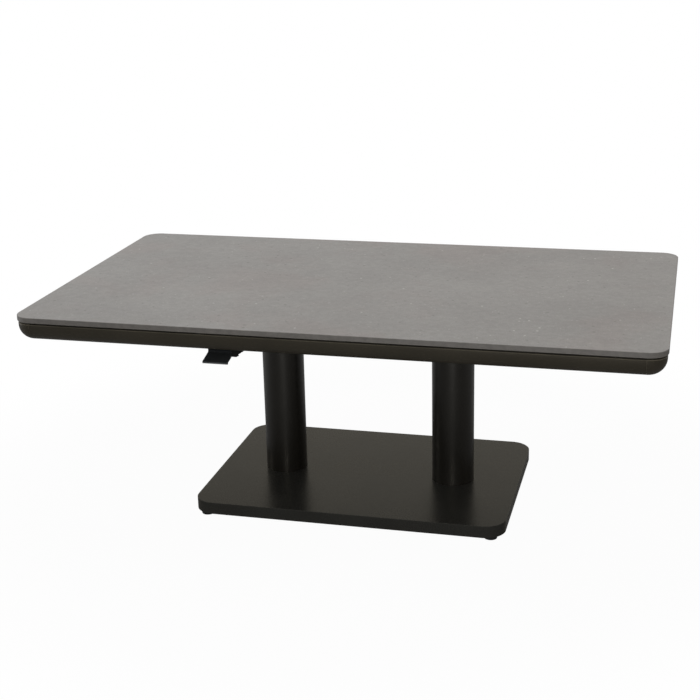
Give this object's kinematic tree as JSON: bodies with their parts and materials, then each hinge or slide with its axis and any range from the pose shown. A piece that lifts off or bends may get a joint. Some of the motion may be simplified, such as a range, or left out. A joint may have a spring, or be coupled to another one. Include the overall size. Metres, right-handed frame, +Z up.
{
  "type": "adjustable lounge table",
  "caption": "Rectangular stone-look tabletop on a shallow metal frame, carried by two telescopic columns on a flat weighted base, with a release paddle under the front edge.",
  "frame": {"origin": "centre of the table's outline on the floor, midway between its four feet", "axes": "+X along the long side to the right as seen from the front, +Y to the back, +Z up; the release paddle is at the front, -Y"},
  "size_m": [1.4, 0.8, 0.509],
  "materials": {
    "slab_stone": "fine matt, speckled",
    "gasket_foam": "matt closed-cell foam",
    "frame_paint": "satin powder coat",
    "corner_paint": "satin powder coat",
    "tube_paint": "matt black powder coat",
    "zinc_steel": "zinc plated",
    "black_screw": "black oxide",
    "pin_steel": "ground",
    "base_paint": "satin powder coat",
    "ballast_steel": "flame-cut plate, primed",
    "bracket_plastic": "moulded, fine grain",
    "paddle_plastic": "moulded, fine grain",
    "adjuster_metal": "black zinc",
    "wire_steel": "drawn wire",
    "cable_sheath": "smooth sheath",
    "clip_plastic": "moulded",
    "column_paint": "satin powder coat",
    "inner_column_paint": "smooth satin coat",
    "guide_plastic": "smooth bearing plastic",
    "stand_paint": "primed tube",
    "cylinder_paint": "gloss black",
    "rod_chrome": "hard chrome",
    "head_alloy": "die-cast",
    "foot_plastic": "moulded"
  },
  "bodies": {
    "base": {"ballast_plate": "ballast_steel", "base_cover": "base_paint", "column_foot_bolts": "zinc_steel", "cover_screws": "black_screw", "gas_cylinder_left": "cylinder_paint", "gas_cylinder_right": "cylinder_paint", "gas_spring_stand_left": "stand_paint", "gas_spring_stand_right": "stand_paint", "outer_column_left": "column_paint", "outer_column_right": "column_paint", "rod_guide_left": "guide_plastic", "rod_guide_right": "guide_plastic", "upper_guide_left": "guide_plastic", "upper_guide_right": "guide_plastic"},
    "tabletop": {"cable_adjusters": "adjuster_metal", "cable_clips": "clip_plastic", "cable_left": "cable_sheath", "cable_right": "cable_sheath", "centre_spine": "tube_paint", "cross_tube_left_inner": "tube_paint", "cross_tube_left_outer": "tube_paint", "cross_tube_right_inner": "tube_paint", "cross_tube_right_outer": "tube_paint", "frame_cleats": "zinc_steel", "frame_corner_back_left": "corner_paint", "frame_corner_back_right": "corner_paint", "frame_corner_front_left": "corner_paint", "frame_corner_front_right": "corner_paint", "frame_rail_back": "frame_paint", "frame_rail_front": "frame_paint", "frame_rail_left": "frame_paint", "frame_rail_right": "frame_paint", "frame_screws": "black_screw", "handle_bracket": "bracket_plastic", "head_plate_bolts": "black_screw", "inner_column_left": "inner_column_paint", "inner_column_right": "inner_column_paint", "lower_guide_left": "guide_plastic", "lower_guide_right": "guide_plastic", "piston_rod_left": "rod_chrome", "piston_rod_right": "rod_chrome", "pivot_pins": "black_screw", "release_head_left": "head_alloy", "release_head_right": "head_alloy", "rod_lock_nuts": "zinc_steel", "slab_gasket": "gasket_foam", "tabletop_slab": "slab_stone"},
    "paddle": {"release_paddle": "paddle_plastic"},
    "handle_wires": {"handle_wires": "wire_steel"},
    "rocker_left": {"rocker_left": "pin_steel"},
    "release_pin_left": {"release_pin_left": "pin_steel"},
    "head_wire_left": {"head_wire_left": "wire_steel"},
    "rocker_right": {"rocker_right": "pin_steel"},
    "release_pin_right": {"release_pin_right": "pin_steel"},
    "head_wire_right": {"head_wire_right": "wire_steel"},
    "foot_front_left": {"levelling_foot_front_left": "foot_plastic"},
    "foot_front_right": {"levelling_foot_front_right": "foot_plastic"},
    "foot_back_left": {"levelling_foot_back_left": "foot_plastic"},
    "foot_back_right": {"levelling_foot_back_right": "foot_plastic"}
  },
  "joints": [
    {"name": "lift", "type": "slide", "parent": "base", "child": "tabletop", "axis": [0, 0, 1], "range_m": [0, 0.2]},
    {"name": "release", "type": "hinge", "parent": "tabletop", "child": "paddle", "pos_m": [-0.2065, -0.33, 0.447], "axis": [0, 1, 0], "range_deg": [0, 15], "stiffness_Nm_per_rad": 0.5},
    {"name": "handle_wire_pull", "type": "slide", "parent": "tabletop", "child": "handle_wires", "axis": [-0.866, 0, -0.5], "range_m": [0, 0.00265]},
    {"name": "rocker_left_turn", "type": "hinge", "parent": "tabletop", "child": "rocker_left", "pos_m": [-0.207, 0.012, 0.477], "axis": [1, 0, 0], "range_deg": [0, 12.1]},
    {"name": "release_pin_left_push", "type": "slide", "parent": "tabletop", "child": "release_pin_left", "axis": [0, 0, -1], "range_m": [0, 0.0026]},
    {"name": "head_wire_left_pull", "type": "slide", "parent": "tabletop", "child": "head_wire_left", "axis": [0, -1, 0], "range_m": [0, 0.00265]},
    {"name": "rocker_right_turn", "type": "hinge", "parent": "tabletop", "child": "rocker_right", "pos_m": [0.207, 0.012, 0.477], "axis": [1, 0, 0], "range_deg": [0, 12.1]},
    {"name": "release_pin_right_push", "type": "slide", "parent": "tabletop", "child": "release_pin_right", "axis": [0, 0, -1], "range_m": [0, 0.0026]},
    {"name": "head_wire_right_pull", "type": "slide", "parent": "tabletop", "child": "head_wire_right", "axis": [0, -1, 0], "range_m": [0, 0.00265]},
    {"name": "foot_front_left_turn", "type": "hinge", "parent": "base", "child": "foot_front_left", "pos_m": [-0.3325, -0.2295, 0.021], "axis": [0, 0, 1], "continuous": true},
    {"name": "foot_front_right_turn", "type": "hinge", "parent": "base", "child": "foot_front_right", "pos_m": [0.3325, -0.2295, 0.021], "axis": [0, 0, 1], "continuous": true},
    {"name": "foot_back_left_turn", "type": "hinge", "parent": "base", "child": "foot_back_left", "pos_m": [-0.3325, 0.2295, 0.021], "axis": [0, 0, 1], "continuous": true},
    {"name": "foot_back_right_turn", "type": "hinge", "parent": "base", "child": "foot_back_right", "pos_m": [0.3325, 0.2295, 0.021], "axis": [0, 0, 1], "continuous": true}
  ],
  "couplings": [
    {"joint": "handle_wire_pull", "follows": "release", "m_per_rad": 0.01},
    {"joint": "rocker_left_turn", "follows": "release", "ratio": 0.8},
    {"joint": "release_pin_left_push", "follows": "release", "m_per_rad": 0.0096},
    {"joint": "head_wire_left_pull", "follows": "release", "m_per_rad": 0.01},
    {"joint": "rocker_right_turn", "follows": "release", "ratio": 0.8},
    {"joint": "release_pin_right_push", "follows": "release", "m_per_rad": 0.0096},
    {"joint": "head_wire_right_pull", "follows": "release", "m_per_rad": 0.01}
  ]
}
